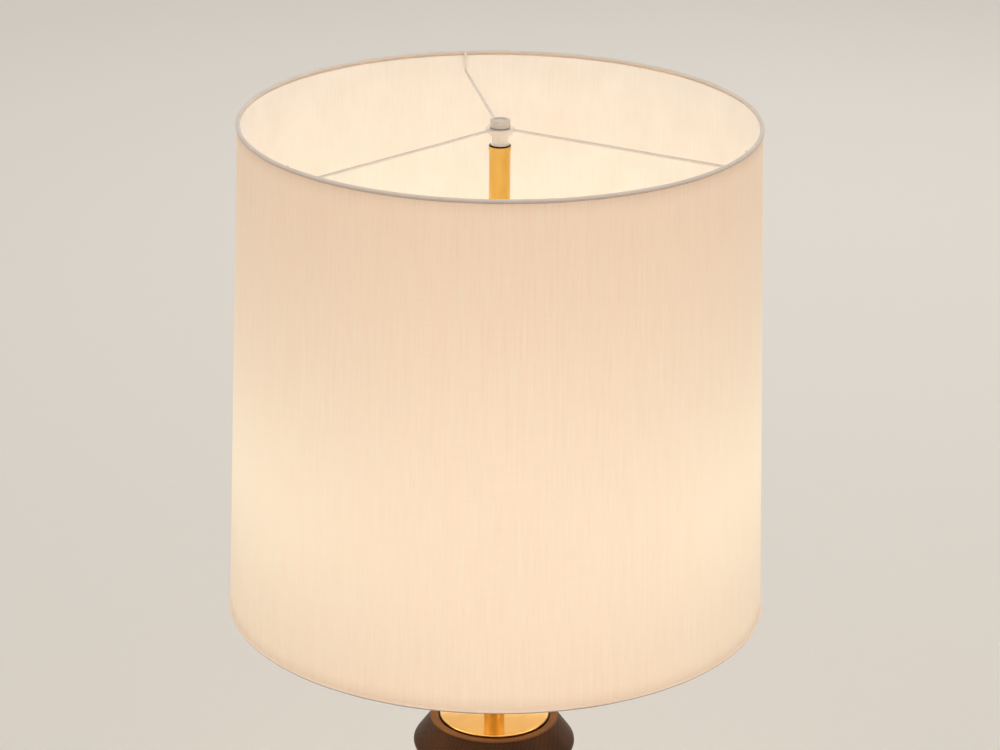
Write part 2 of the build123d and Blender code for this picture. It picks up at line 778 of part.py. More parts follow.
    with BuildPart() as bulb_housing:
        plug_r = base_bore_r - slip
        with BuildSketch(arm):
            with BuildLine():
                Polyline(
                    (housing_x, neck_r - bulb_wall),
                    (neck_x - housing_plug_length, neck_r - 2 * bulb_wall),
                    (neck_x - housing_plug_length, plug_r),
                    (neck_x, plug_r),
                    (neck_x, neck_r),
                    (housing_x, neck_r),
                )
                Spline(
                    (housing_x, neck_r),
                    (seam_x, seam_r),
                    tangents=[(1, 0), (1, seam_slope)],
                )
                Polyline(
                    (seam_x, seam_r),
                    (seam_x, seam_r - bulb_wall),
                    (board_x, seam_r - bulb_wall),
                    (board_x, seam_r - bulb_wall - led_ledge),
                )
                Spline(
                    (housing_x, neck_r - bulb_wall),
                    (board_x, seam_r - bulb_wall - led_ledge),
                    tangents=[(1, 0), (1, seam_slope)],
                )
            make_face()
        revolve(axis=arm_axis)
    keep(bulb_housing.part, f"bulb_housing_{hand}")

    with BuildPart() as bulb_led_board:
        revolve(sleeve(arm, 0, board_r, board_x, seam_x), axis=arm_axis)
        with BuildSketch(Plane.YZ.offset(side * seam_x)):
            with Locations((0, bulb_z)):
                with PolarLocations(led_circle_d / 2, leds_count):
                    Rectangle(led_size, led_size)
        extrude(amount=side * led_height)
    keep(bulb_led_board.part, f"bulb_led_board_{hand}")

    with BuildPart() as bulb_diffuser:
        inner_globe_r = globe_r - bulb_wall
        with BuildSketch(arm):
            with BuildLine():
                inner_seam_r = (inner_globe_r**2 - globe_seam_back**2) ** 0.5
                ThreePointArc(
                    (seam_x, seam_r),
                    (globe_x + globe_r * diagonal, globe_r * diagonal),
                    (globe_x + globe_r, 0),
                )
                Line((globe_x + globe_r, 0), (globe_x + inner_globe_r, 0))
                ThreePointArc(
                    (globe_x + inner_globe_r, 0),
                    (globe_x + inner_globe_r * diagonal, inner_globe_r * diagonal),
                    (seam_x, inner_seam_r),
                )
                Line((seam_x, inner_seam_r), (seam_x, seam_r))
            make_face()
        revolve(axis=arm_axis)
    keep(bulb_diffuser.part, f"bulb_diffuser_{hand}")
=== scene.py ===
import json
import math

import bpy
from mathutils import Matrix, Vector


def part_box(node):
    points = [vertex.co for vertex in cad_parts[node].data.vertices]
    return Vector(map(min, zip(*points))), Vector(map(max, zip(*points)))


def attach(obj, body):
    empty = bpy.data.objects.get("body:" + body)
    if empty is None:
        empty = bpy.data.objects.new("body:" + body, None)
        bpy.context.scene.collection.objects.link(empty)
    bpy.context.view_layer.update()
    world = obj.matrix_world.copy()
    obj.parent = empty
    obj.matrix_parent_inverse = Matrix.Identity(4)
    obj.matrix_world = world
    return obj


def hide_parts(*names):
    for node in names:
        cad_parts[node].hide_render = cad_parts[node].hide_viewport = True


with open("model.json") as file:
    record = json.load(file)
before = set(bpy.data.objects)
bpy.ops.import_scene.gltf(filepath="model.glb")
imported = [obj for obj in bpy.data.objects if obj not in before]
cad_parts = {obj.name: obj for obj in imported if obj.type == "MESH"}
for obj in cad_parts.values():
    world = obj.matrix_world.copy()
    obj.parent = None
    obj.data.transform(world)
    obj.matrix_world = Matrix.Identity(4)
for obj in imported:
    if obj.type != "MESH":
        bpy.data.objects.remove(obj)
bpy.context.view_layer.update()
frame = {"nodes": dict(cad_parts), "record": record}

scene = bpy.context.scene
scene.view_settings.view_transform = "Standard"
nodes = frame["nodes"]
TURN = 2 * math.pi

# ---------------------------------------------------------------- tools
MATH = "ShaderNodeMath"
VECTOR = "ShaderNodeVectorMath"
RANGE = "ShaderNodeMapRange"
MAPPING = "ShaderNodeMapping"
NOISE = "ShaderNodeTexNoise"
RAMP = "ShaderNodeValToRGB"
PLACE = "ShaderNodeTexCoord"
SPLIT = "ShaderNodeSeparateXYZ"
JOIN = "ShaderNodeCombineXYZ"
MIX = "ShaderNodeMix"
BUMP = "ShaderNodeBump"
MIX_FACTOR, MIX_A, MIX_B, MIX_RESULT = 0, 6, 7, 2  # a colour mix's sockets


def hexa(code):
    """The linear colour of an sRGB hex value."""
    parts = [int(code[i : i + 2], 16) / 255 for i in (1, 3, 5)]
    return tuple(p / 12.92 if p <= 0.04045 else ((p + 0.055) / 1.055) ** 2.4 for p in parts) + (1.0,)


def feed(tree, node, inputs):
    """Sets or links a node's inputs, given by name or number, or in order."""
    for name, value in inputs.items() if isinstance(inputs, dict) else enumerate(inputs):
        if isinstance(value, bpy.types.Node):
            value = value.outputs[0]
        if isinstance(value, bpy.types.NodeSocket):
            tree.links.new(value, node.inputs[name])
        else:
            node.inputs[name].default_value = value


def add(tree, kind, inputs=(), **settings):
    """Adds a node with its settings, its values and its links."""
    made = tree.nodes.new(kind)
    stops = settings.pop("stops", ())
    for name, value in settings.items():
        setattr(made, name, value)
    if stops:
        marks = made.color_ramp.elements
        while len(marks) < len(stops):
            marks.new(1.0)
        for mark, (place, colour) in zip(marks, stops):
            mark.position = place
            mark.color = hexa(colour)
    feed(tree, made, inputs)
    return made


def finish(name):
    """A new material with its node tree and its shader."""
    made = bpy.data.materials.new(name)
    made.use_nodes = True
    tree = made.node_tree
    tree.nodes.clear()
    shader = add(tree, "ShaderNodeBsdfPrincipled")
    add(tree, "ShaderNodeOutputMaterial", {"Surface": shader})
    return made, tree, shader


def grain(tree, size_mm, stretch=(1, 1, 1), detail=3.0, turn=(0, 0, 0)):
    """Noise with features of a real size, drawn out along an axis by its stretch."""
    place = add(tree, PLACE)
    scale = tuple(1000 / (size_mm * s) for s in stretch)
    mapped = add(
        tree, MAPPING, {"Vector": place.outputs["Object"], "Scale": scale, "Rotation": turn}
    )
    return add(
        tree, NOISE, {"Vector": mapped, "Scale": 1.0, "Detail": detail, "Roughness": 0.55}
    )


def blended(tree, first, share, second):
    """Two values mixed, share of the first and the rest of the second."""
    rest = add(tree, MATH, (second, 1 - share), operation="MULTIPLY")
    return add(tree, MATH, (first, share, rest), operation="MULTIPLY_ADD")


def by_height(tree, low, high, below, above):
    """A colour that turns from one to another as height rises from low to high."""
    place = add(tree, PLACE)
    split = add(tree, SPLIT, (place.outputs["Object"],))
    rise = add(tree, RANGE, (split.outputs["Z"], low, high), interpolation_type="SMOOTHSTEP")
    mixed = add(tree, MIX, {MIX_FACTOR: rise, MIX_A: below, MIX_B: above}, data_type="RGBA")
    return mixed.outputs[MIX_RESULT], rise


def plain_mesh(made):
    """The mesh that an object's modifiers give."""
    view = bpy.context.evaluated_depsgraph_get()
    return bpy.data.meshes.new_from_object(
        made.evaluated_get(view), preserve_all_data_layers=True, depsgraph=view
    )


def keep_made(tree, name, sizes):
    """Runs a geometry tree with these sizes and keeps what it makes as a plain mesh."""
    maker = bpy.data.objects.new(name + "_maker", bpy.data.meshes.new(name + "_maker"))
    scene.collection.objects.link(maker)
    rule = maker.modifiers.new("rule", "NODES")
    rule.node_group = tree
    for socket in tree.interface.items_tree:
        if socket.item_type == "SOCKET" and socket.in_out == "INPUT" and socket.name in sizes:
            rule[socket.identifier] = sizes[socket.name]
    mesh = plain_mesh(maker)
    mesh.name = name
    bpy.data.objects.remove(maker)
    piece = bpy.data.objects.new(name, mesh)
    scene.collection.objects.link(piece)
    return piece


def rule_tree(name, floats=(), vectors=(), ints=()):
    """A geometry tree with named inputs, a material input and a geometry output."""
    tree = bpy.data.node_groups.new(name, "GeometryNodeTree")
    for kind, names in (("Float", floats), ("Vector", vectors), ("Int", ints)):
        for label in names:
            tree.interface.new_socket(label, in_out="INPUT", socket_type=f"NodeSocket{kind}")
    tree.interface.new_socket("Material", in_out="INPUT", socket_type="NodeSocketMaterial")
    tree.interface.new_socket("Geometry", in_out="OUTPUT", socket_type="NodeSocketGeometry")
    return tree, add(tree, "NodeGroupInput").outputs


def end_tree(tree, sizes, geometry):
    """Smooth shading, real instances and the material, then the output."""
    real = add(tree, "GeometryNodeRealizeInstances", {"Geometry": geometry})
    smooth = add(tree, "GeometryNodeSetShadeSmooth", {"Geometry": real})
    dressed = add(
        tree, "GeometryNodeSetMaterial", {"Geometry": smooth, "Material": sizes["Material"]}
    )
    add(tree, "NodeGroupOutput", (dressed,))
    return tree


# ---------------------------------------------------------------- sizes
top_low, top_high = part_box("top_ring_wire")
bottom_low, bottom_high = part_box("bottom_ring_wire")
WIRE_R = (top_high.z - top_low.z) / 2
TOP_Z = (top_low.z + top_high.z) / 2
BOTTOM_Z = (bottom_low.z + bottom_high.z) / 2
TOP_R = top_high.x - WIRE_R
BOTTOM_R = bottom_high.x - WIRE_R
TRIM_R = (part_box("top_trim")[1].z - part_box("top_trim")[0].z) / 2
LINEN_OUT = 0.0006  # outer face of the linen outside the ring wires' centreline
LINEN_WALL = 0.0004
LAP = 0.012  # width of the glued lap at the back
TUCK = 0.0006  # linen under each rolled edge
COVER_WALL = LINEN_WALL - 0.00005  # thinner than the step, so the lap's layers stay apart
RIPPLE = 0.00025
ROLL_R = 0.92 * TRIM_R  # its fullest places still lie within the trim
ROLL_WANDER = 0.0004
ROLL_LAP_ANGLE = 0.03
FIRST_ARM = math.radians(98.4)  # bearing of the spider's arm at the back
WELD_LONG = 0.0016
WELD_PROUD = 0.0007
WELD_SUNK = 0.0003
CHAIN_PITCH = 0.0044
CHAIN_LINK_R = 0.0005
CHAIN_BALLS = 24
LIP_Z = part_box("base_body")[1].z
PLUG_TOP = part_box("riser_top_plug")[1].z
CAP_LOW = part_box("cap_nut")[0].z


# ---------------------------------------------------------------- materials
# Walnut, turned on a lathe, stained dark and sealed with satin lacquer: quiet figure that
# runs up the blank, short dark pores and a soft sheen.
def walnut():
    made, tree, shader = finish("stained_walnut_satin_lacquer")
    ring_gap = 0.0032
    place = add(tree, PLACE)
    # the heart of the tree lies 90 mm off the lamp's axis and leans a little
    blank = add(
        tree,
        MAPPING,
        {
            "Vector": place.outputs["Object"],
            "Location": (0.09, 0.035, 0),
            "Rotation": (math.radians(2.5), math.radians(-3), 0),
        },
    )
    rings = add(
        tree,
        "ShaderNodeTexWave",
        {
            "Vector": blank,
            "Scale": TURN / (20 * ring_gap),
            "Distortion": 9.0,
            "Detail": 3.0,
            "Detail Scale": 0.12,
        },
        wave_type="RINGS",
        rings_direction="Z",
    )
    fibre = grain(tree, size_mm=0.7, stretch=(1, 1, 45), detail=5.0)
    pores = grain(tree, size_mm=0.45, stretch=(1, 1, 14), detail=1.0)
    cloud = grain(tree, size_mm=60, stretch=(1, 1, 2.5), detail=2.0)
    figure = add(tree, MATH, (fibre, 0.26), operation="MULTIPLY")
    for layer, share in ((rings, 0.06), (cloud, 0.68)):
        figure = add(tree, MATH, (layer, share, figure), operation="MULTIPLY_ADD")
    stain = add(
        tree, RAMP, (figure,), stops=((0.25, "#2A1A11"), (0.5, "#412A1A"), (0.75, "#5B3D25"))
    )
    specks = add(tree, RANGE, {"Value": pores, "From Min": 0.30, "From Max": 0.42})
    dark = add(
        tree,
        MIX,
        {MIX_FACTOR: 0.35, MIX_A: stain, MIX_B: specks},
        data_type="RGBA",
        blend_type="MULTIPLY",
    )
    # painted light: the lip and its edge are drawn a lighter, warmer brown where the bulbs' light
    # falls on them
    painted_light_lip = add(
        tree, RAMP, (figure,), stops=((0.25, "#5B381B"), (0.5, "#704724"), (0.75, "#875B31"))
    )
    colour, _ = by_height(
        tree, LIP_Z - 0.0014, LIP_Z - 0.0004, dark.outputs[MIX_RESULT], painted_light_lip.outputs[0]
    )
    feed(
        tree,
        shader,
        {
            "Base Color": colour,
            "Roughness": add(tree, RANGE, {"Value": fibre, "To Min": 0.34, "To Max": 0.48}),
            "Normal": add(tree, BUMP, {"Height": fibre, "Distance": 0.000015, "Strength": 0.4}),
            "IOR": 1.5,
            "Specular IOR Level": 0.06,
            "Coat Weight": 0.02,
            "Coat Roughness": 0.3,
        },
    )
    return made


def brass(name, tones, rough, spun=False, edge=None):
    """Brass, polished and lacquered: a clear yellow mirror with hairlines from the wheel."""
    made, tree, shader = finish(name)
    # the tubes were polished along their length, the disc was spun, so its lines go round
    if spun:
        line_gap = 0.00035
        place = add(tree, PLACE)
        split = add(tree, SPLIT, (place.outputs["Object"],))
        flat = add(tree, JOIN, (split.outputs["X"], split.outputs["Y"]))
        out = add(tree, VECTOR, (flat,), operation="LENGTH")
        step = add(tree, MATH, (out.outputs["Value"], 1 / line_gap), operation="MULTIPLY")
        hair = add(tree, NOISE, {"W": step, "Scale": 1.0, "Detail": 3.0}, noise_dimensions="1D")
    else:
        hair = grain(tree, size_mm=0.22, stretch=(1, 1, 90))
    haze = grain(tree, size_mm=9, stretch=(1, 1, 2.0))
    both = blended(tree, haze, 0.5, hair)
    colour = add(tree, RAMP, (both,), stops=((0.35, tones[0]), (0.65, tones[1]))).outputs[0]
    if edge:
        # a painted dark band at the part's upper edge, standing in for shade and a dark reflection
        colour, _ = by_height(tree, *edge, colour, hexa("#4A2C0E"))
    feed(
        tree,
        shader,
        {
            "Base Color": colour,
            "Roughness": add(tree, RANGE, {"Value": both, "To Min": rough[0], "To Max": rough[1]}),
            "Normal": add(tree, BUMP, {"Height": hair, "Distance": 0.000004, "Strength": 0.5}),
            "Metallic": 1.0,
        },
    )
    return made


def surface(
    name, dark, light, patch_mm, rough, bump_mm,
    metal=0.0, fixed=None, grit_mm=0.6, stretch=(1, 1, 1), seam=None,
):
    """A finish with cloudy colour, fine grit in its relief and uneven gloss."""
    made, tree, shader = finish(name)
    cloud = grain(tree, patch_mm)
    grit = grain(tree, grit_mm, stretch, detail=4.0)
    mixed = blended(tree, grit, 0.45, cloud)
    colour = add(tree, RAMP, (mixed,), stops=((0.3, dark), (0.7, light))).outputs[0]
    # painted shade: the given dark tone below a height, at the part's lowest edge
    if seam:
        low, high, tone = seam
        colour, _ = by_height(tree, low, high, hexa(tone), colour)
    feed(
        tree,
        shader,
        {
            "Base Color": colour,
            "Roughness": add(tree, RANGE, {"Value": grit, "To Min": rough[0], "To Max": rough[1]}),
            "Normal": add(tree, BUMP, {"Height": grit, "Distance": bump_mm / 1000, "Strength": 1.0}),
            "Metallic": metal,
            **(fixed or {}),
        },
    )
    return made


# Light that comes through the shade, as linear colours: an even part, a wide band level with
# the bulbs, a nearer and narrower band at the sides, and what is lost towards the sides.
LINEN_EVEN = (0.225, 0.11, 0.053)
LINEN_WIDE = (0.155, 0.165, 0.13)
LINEN_NEAR = (0.085, 0.085, 0.06)
LINEN_LOST = (-0.08, -0.045, -0.03)
LINER_EVEN = (0.0, 0.03, 0.07)
LINER_WIDE = (0.25, 0.205, 0.165)
LINER_NEAR = (0.3, 0.26, 0.18)
OPAL_LIGHT = (14.0, 11.0, 7.6)


def bell(tree, up, centre, width):
    """A bell curve of height on the shade, 1 at centre and 0.37 at one width away."""
    off = add(tree, MATH, (up, centre), operation="SUBTRACT")
    away = add(tree, MATH, (off, width), operation="DIVIDE")
    square = add(tree, MATH, (away, away), operation="MULTIPLY")
    power = add(tree, MATH, (square, -1.0), operation="MULTIPLY")
    return add(tree, MATH, (power,), operation="EXPONENT")


def glow(tree, even, wide, near, wide_band, near_band, lost=None):
    """The light through the shade's wall. A band is its height over the bottom ring and width."""
    place = add(tree, PLACE)
    split = add(tree, SPLIT, (place.outputs["Object"],))
    up = add(tree, MATH, (split.outputs["Z"], BOTTOM_Z), operation="SUBTRACT")
    across = add(tree, MATH, (split.outputs["X"], (TOP_R + BOTTOM_R) / 2), operation="DIVIDE")
    aside = add(tree, MATH, (across, across), operation="MULTIPLY")
    close = add(tree, MATH, (bell(tree, up, *near_band), aside), operation="MULTIPLY")
    layers = [(wide, bell(tree, up, *wide_band)), (near, close)]
    if lost:
        layers.append((lost, aside))
    total = even
    for colour, value in layers:
        total = add(tree, VECTOR, (colour, value, total), operation="MULTIPLY_ADD")
    return total


# Linen, plain woven in a slubby yarn and laminated: warp lines run up the drum, thick and
# thin, and the bulbs show through as two soft warm lobes at the sides.
def linen():
    made, tree, shader = finish("cream_linen_lit")
    uv = add(tree, "ShaderNodeUVMap", uv_map="UVMap")
    threads = []
    # across and along in mm: real threads are 0.35 mm apart, and are drawn at 0.8 mm, the
    # finest that shows
    for across, along, detail in ((0.8, 34.0, 3.0), (30.0, 0.9, 3.0), (2.4, 120.0, 2.0)):
        mapped = add(tree, MAPPING, {"Vector": uv, "Scale": (1000 / across, 1000 / along, 1)})
        threads.append(
            add(
                tree,
                NOISE,
                {"Vector": mapped, "Scale": 1.0, "Detail": detail, "Roughness": 0.6},
                noise_dimensions="2D",
            )
        )
    warp, weft, slub = threads
    weave = add(tree, MATH, (weft, 0.18), operation="MULTIPLY")
    for layer, share in ((warp, 0.54), (slub, 0.28)):
        weave = add(tree, MATH, (layer, share, weave), operation="MULTIPLY_ADD")
    light = glow(
        tree, LINEN_EVEN, LINEN_WIDE, LINEN_NEAR, (0.13, 0.178), (0.125, 0.07), LINEN_LOST
    )
    # the lap at the back lets less light through
    lap = add(tree, SPLIT, (uv,))
    past = add(tree, MATH, (lap.outputs["X"], LAP), operation="LESS_THAN")
    single = add(tree, RANGE, {"Value": past, "To Min": 1.0, "To Max": 0.8})
    thin = add(
        tree,
        RANGE,
        {"Value": weave, "From Min": 0.3, "From Max": 0.7, "To Min": 0.972, "To Max": 1.028},
    )
    through = add(tree, MATH, (single, thin), operation="MULTIPLY")
    feed(
        tree,
        shader,
        {
            "Base Color": add(tree, RAMP, (weave,), stops=((0.35, "#E6D5C1"), (0.65, "#EDDFCD"))),
            "Emission Color": add(tree, VECTOR, {0: light, "Scale": through}, operation="SCALE"),
            "Emission Strength": 1.0,
            "Normal": add(tree, BUMP, {"Height": weave, "Distance": 0.00008, "Strength": 0.6}),
            "Roughness": 0.85,
            "Sheen Weight": 0.15,
            "Sheen Roughness": 0.5,
        },
    )
    return made


# Styrene sheet, calendered and bonded to the linen: a smooth warm white with the weave
# just printing through, brightest level with the bulbs.
def styrene():
    made, tree, shader = finish("warm_white_styrene_lit")
    cloud = grain(tree, size_mm=35, detail=2.0)
    printed = grain(tree, size_mm=1.1, stretch=(1, 1, 30), detail=2.0)
    both = blended(tree, printed, 0.5, cloud)
    light = glow(tree, LINER_EVEN, LINER_WIDE, LINER_NEAR, (0.1, 0.18), (0.1, 0.09))
    uneven = add(tree, RANGE, {"Value": both, "To Min": 0.98, "To Max": 1.02})
    feed(
        tree,
        shader,
        {
            "Base Color": add(tree, RAMP, (both,), stops=((0.3, "#EFE6D6"), (0.7, "#F7F0E4"))),
            "Emission Color": add(tree, VECTOR, {0: light, "Scale": uneven}, operation="SCALE"),
            "Emission Strength": 1.0,
            "Normal": add(tree, BUMP, {"Height": printed, "Distance": 0.00002, "Strength": 0.4}),
            "Roughness": 0.55,
        },
    )
    return made


# Opal polycarbonate, blow moulded and frosted: an even warm white light, dimmer where the
# globe turns in to its seam.
def opal():
    made, tree, shader = finish("opal_polycarbonate_lit")
    seam_x, full_x = 0.120, 0.140
    cloud = grain(tree, size_mm=6, detail=2.0)
    place = add(tree, PLACE)
    split = add(tree, SPLIT, (place.outputs["Object"],))
    out = add(tree, MATH, (split.outputs["X"],), operation="ABSOLUTE")
    front = add(
        tree, RANGE, {"Value": out, "From Min": seam_x, "From Max": full_x, "To Min": 0.45}
    )
    patchy = add(tree, RANGE, {"Value": cloud, "To Min": 0.95, "To Max": 1.05})
    even = add(tree, MATH, (front, patchy), operation="MULTIPLY")
    feed(
        tree,
        shader,
        {
            "Base Color": add(tree, RAMP, (cloud,), stops=((0.3, "#F2EBDD"), (0.7, "#FBF6EC"))),
            "Emission Color": add(tree, VECTOR, {0: OPAL_LIGHT, "Scale": even}, operation="SCALE"),
            "Emission Strength": 1.0,
            "Roughness": 0.4,
        },
    )
    return made


# Cotton bias tape, folded over the ring wire: a fine slanting twill. Its upper side glows with
# painted light standing in for the light through the shade, and its underside is drawn darker as
# painted shade.
def tape(name, ring_z, painted_shade_under, light, low, high):
    made, tree, shader = finish(name)
    twill = grain(tree, size_mm=0.45, stretch=(1, 1, 4), detail=2.0, turn=(0, math.radians(35), 0))
    cloud = grain(tree, size_mm=14, detail=2.0)
    both = blended(tree, twill, 0.6, cloud)
    cloth = add(tree, RAMP, (both,), stops=((0.3, "#DFD2C7"), (0.7, "#F2E9E0")))
    # painted shade below, the cloth's own colour above
    colour, rise = by_height(
        tree, ring_z + low * TRIM_R, ring_z + high * TRIM_R, hexa(painted_shade_under), cloth.outputs[0]
    )
    feed(
        tree,
        shader,
        {
            "Base Color": colour,
            "Emission Color": add(tree, VECTOR, {0: light, "Scale": rise}, operation="SCALE"),
            "Emission Strength": 1.0,
            "Normal": add(tree, BUMP, {"Height": twill, "Distance": 0.00015, "Strength": 0.8}),
            "Roughness": 0.85,
            "Sheen Weight": 0.2,
        },
    )
    return made


# Needle felt: short matted fibres with a dusty bloom.
FELT = surface(
    "brown_needle_felt", "#2B211B", "#45362C",
    patch_mm=5, rough=(0.85, 0.98), bump_mm=0.35, fixed={"Sheen Weight": 0.35}, grit_mm=0.5,
)
# Cast iron, as it left the sand: dark grey, coarse and dull.
IRON = surface(
    "sand_cast_iron", "#2C2B2A", "#474543",
    patch_mm=12, rough=(0.6, 0.85), bump_mm=0.25, metal=0.7, grit_mm=1.2,
)
# Steel, zinc plated and cleared: a pale grey with a faint cloud.
ZINC = surface(
    "zinc_plated_steel", "#B4B3AE", "#CFCEC9",
    patch_mm=4, rough=(0.25, 0.42), bump_mm=0.01, metal=1.0, grit_mm=0.4,
)
# Pressed fibre board: flecked brown and matt.
FIBRE = surface(
    "pressed_fibre_board", "#6B5540", "#927A5F",
    patch_mm=3, rough=(0.75, 0.92), bump_mm=0.08, grit_mm=0.9, stretch=(3, 1, 1),
)
# Phenolic, compression moulded: near black with a low sheen.
PHENOLIC = surface(
    "moulded_phenolic", "#141210", "#231F1C",
    patch_mm=8, rough=(0.38, 0.5), bump_mm=0.01, fixed={"IOR": 1.6}, grit_mm=0.5,
)
# Baked white enamel over steel: a warm white gloss with slight orange peel.
ENAMEL = surface(
    "baked_white_enamel", "#E3DAD0", "#EFE8DF",
    patch_mm=10, rough=(0.28, 0.38), bump_mm=0.012,
    fixed={"Coat Weight": 0.4, "Coat Roughness": 0.15}, grit_mm=1.6,
)
# The cap nut's enamel, duller from fingers, in a darker tone than the other enamel as painted shade,
# with a painted dark band of shade in the seam where it meets the hub.
CAP_ENAMEL = surface(
    "baked_white_enamel_cap", "#D2C7BA", "#DED4C8",
    patch_mm=10, rough=(0.3, 0.4), bump_mm=0.012,
    fixed={"Coat Weight": 0.1, "Coat Roughness": 0.15, "Specular IOR Level": 0.3},
    grit_mm=1.6, seam=(CAP_LOW + 0.0002, CAP_LOW + 0.0006, "#7A665C"),
)
# White powder coated wire: duller and pebbled.
RING_WIRE = surface(
    "coated_ring_wire", "#C9C2B6", "#D8D2C8",
    patch_mm=6, rough=(0.5, 0.65), bump_mm=0.03, grit_mm=0.8,
)
# Silicone lead insulation: soft off white.
LEAD = surface(
    "silicone_insulation", "#CFC9BD", "#DFDACF",
    patch_mm=6, rough=(0.55, 0.7), bump_mm=0.01, grit_mm=0.8,
)
# Nylon crimp sleeve: milky and slightly yellow.
NYLON = surface(
    "nylon_sleeve", "#C2B79F", "#D3CAB4",
    patch_mm=5, rough=(0.4, 0.55), bump_mm=0.01, grit_mm=0.8,
)
# Nickel plated screw base: a bright cool grey.
NICKEL = surface(
    "nickel_plated_brass", "#BDB9B1", "#D3CFC7",
    patch_mm=4, rough=(0.16, 0.3), bump_mm=0.006, metal=1.0, grit_mm=0.4,
)
# White polycarbonate housing, moulded with a fine spark texture.
HOUSING = surface(
    "white_polycarbonate", "#DAD7CF", "#E7E4DD",
    patch_mm=12, rough=(0.45, 0.58), bump_mm=0.03, fixed={"IOR": 1.58}, grit_mm=0.5,
)
# Circuit board under white solder mask: flat white with a slight gloss.
BOARD = surface(
    "white_solder_mask", "#CFD0CA", "#E4E5E0",
    patch_mm=3, rough=(0.3, 0.45), bump_mm=0.01, grit_mm=0.6,
)
WALNUT = walnut()
# Drawn brass tube, polished and lacquered: a clear warm yellow.
BRASS = brass("polished_brass_tube", ("#DEB25C", "#E8C06E"), (0.08, 0.18))
# Brass disc, spun and buffed on the lathe: paler, with its lines going round.
SPUN_BRASS = brass("spun_polished_brass", ("#D9AF68", "#E3BC74"), (0.08, 0.16), spun=True)
# Rolled brass strip, bare: dull yellow.
BARE_BRASS = brass("rolled_bare_brass", ("#D9A85A", "#E2B468"), (0.25, 0.45))
# The riser's plug, turned and polished, with a painted dark line of shade and dark reflection where
# the white seat stands on it.
PLUG_BRASS = brass(
    "polished_brass_plug", ("#DEB25C", "#E8C06E"), (0.08, 0.18),
    edge=(PLUG_TOP - 0.0011, PLUG_TOP - 0.0007),
)
LINEN = linen()
STYRENE = styrene()
OPAL = opal()
# the two edges differ only in painted shade underneath and painted light on top
TOP_TAPE = tape("cotton_tape_top", TOP_Z, "#C6B5A7", (0.06, 0.055, 0.045), -0.4, 0.9)
BOTTOM_TAPE = tape("cotton_tape_bottom", BOTTOM_Z, "#7E6C5F", (0.22, 0.115, 0.045), -0.75, 0.2)

by_slot = {
    "turned_wood": WALNUT,
    "polished_brass": BRASS,
    "contact_brass": BARE_BRASS,
    "cast_iron": IRON,
    "zinc_steel": ZINC,
    "fibre_board": FIBRE,
    "felt": FELT,
    "moulded_phenolic": PHENOLIC,
    "white_enamel": ENAMEL,
    "ring_steel": RING_WIRE,
    "shade_linen": LINEN,
    "shade_styrene": STYRENE,
    "shade_tape": TOP_TAPE,
    "lead_insulation": LEAD,
    "crimp_nylon": NYLON,
    "nickel_brass": NICKEL,
    "white_polycarbonate": HOUSING,
    "circuit_board": BOARD,
    "opal_polycarbonate": OPAL,
}
own_finish = {"seat_plate": SPUN_BRASS, "riser_top_plug": PLUG_BRASS, "cap_nut": CAP_ENAMEL}
for row in frame["record"]["subparts"]:
    for holder in nodes[row["node"]].material_slots:
        holder.material = own_finish.get(row["node"], by_slot[row["material_slot"]])


# ---------------------------------------------------------------- linen cover
# One sheet wound once round the drum and glued over itself at the back. Its rule: a grid
# laid on a cone, with the last stretch a cloth's thickness further out.
def cover_tree():
    tree, sizes = rule_tree(
        "wound_sheet",
        ("Bottom Radius", "Top Radius", "Bottom Height", "Top Height", "Lap Angle", "Step", "Ripple"),
        ints=("Around", "Up"),
    )
    climb_angle = 0.02
    sheet = add(tree, "GeometryNodeMeshGrid", (1.0, 1.0, sizes["Around"], sizes["Up"]))
    at = add(tree, "GeometryNodeInputPosition")
    split = add(tree, SPLIT, (at,))
    along = add(tree, MATH, (split.outputs["X"], 0.5), operation="ADD")
    up = add(tree, MATH, (split.outputs["Y"], 0.5), operation="ADD")
    whole = add(tree, MATH, (sizes["Lap Angle"], TURN), operation="ADD")
    angle = add(tree, MATH, (along, whole), operation="MULTIPLY")
    sine = add(tree, MATH, (angle,), operation="SINE")
    cosine = add(tree, MATH, (angle,), operation="COSINE")
    radius, height = (
        add(
            tree,
            RANGE,
            {"Value": up, "To Min": sizes[f"Bottom {size}"], "To Max": sizes[f"Top {size}"]},
        )
        for size in ("Radius", "Height")
    )
    climb = add(
        tree,
        RANGE,
        {"Value": angle, "From Min": TURN - climb_angle, "From Max": TURN, "To Max": sizes["Step"]},
        interpolation_type="SMOOTHSTEP",
    )
    # slow ripples where the glue drew the cloth down unevenly
    around = add(
        tree,
        JOIN,
        [
            add(tree, MATH, (value, times), operation="MULTIPLY")
            for value, times in ((sine, 6.0), (cosine, 6.0), (up, 2.0))
        ],
    )
    wave = add(tree, NOISE, {"Vector": around, "Scale": 1.0, "Detail": 1.0})
    lift = add(tree, MATH, (wave, sizes["Ripple"], climb), operation="MULTIPLY_ADD")
    out = add(tree, MATH, (radius, lift), operation="ADD")
    # the winding starts at the back, which is +Y
    point = add(
        tree,
        JOIN,
        (
            add(tree, MATH, (out, sine), operation="MULTIPLY"),
            add(tree, MATH, (out, cosine), operation="MULTIPLY"),
            height,
        ),
    )
    # where each thread lies on the flat cloth, in metres
    wound = add(tree, MATH, (angle, sizes["Bottom Radius"]), operation="MULTIPLY")
    flat = add(tree, JOIN, (wound, height))
    mapped = add(
        tree,
        "GeometryNodeStoreNamedAttribute",
        {"Geometry": sheet, "Name": "UVMap", "Value": flat},
        data_type="FLOAT2",
        domain="CORNER",
    )
    placed = add(tree, "GeometryNodeSetPosition", {"Geometry": mapped, "Position": point})
    return end_tree(tree, sizes, placed)


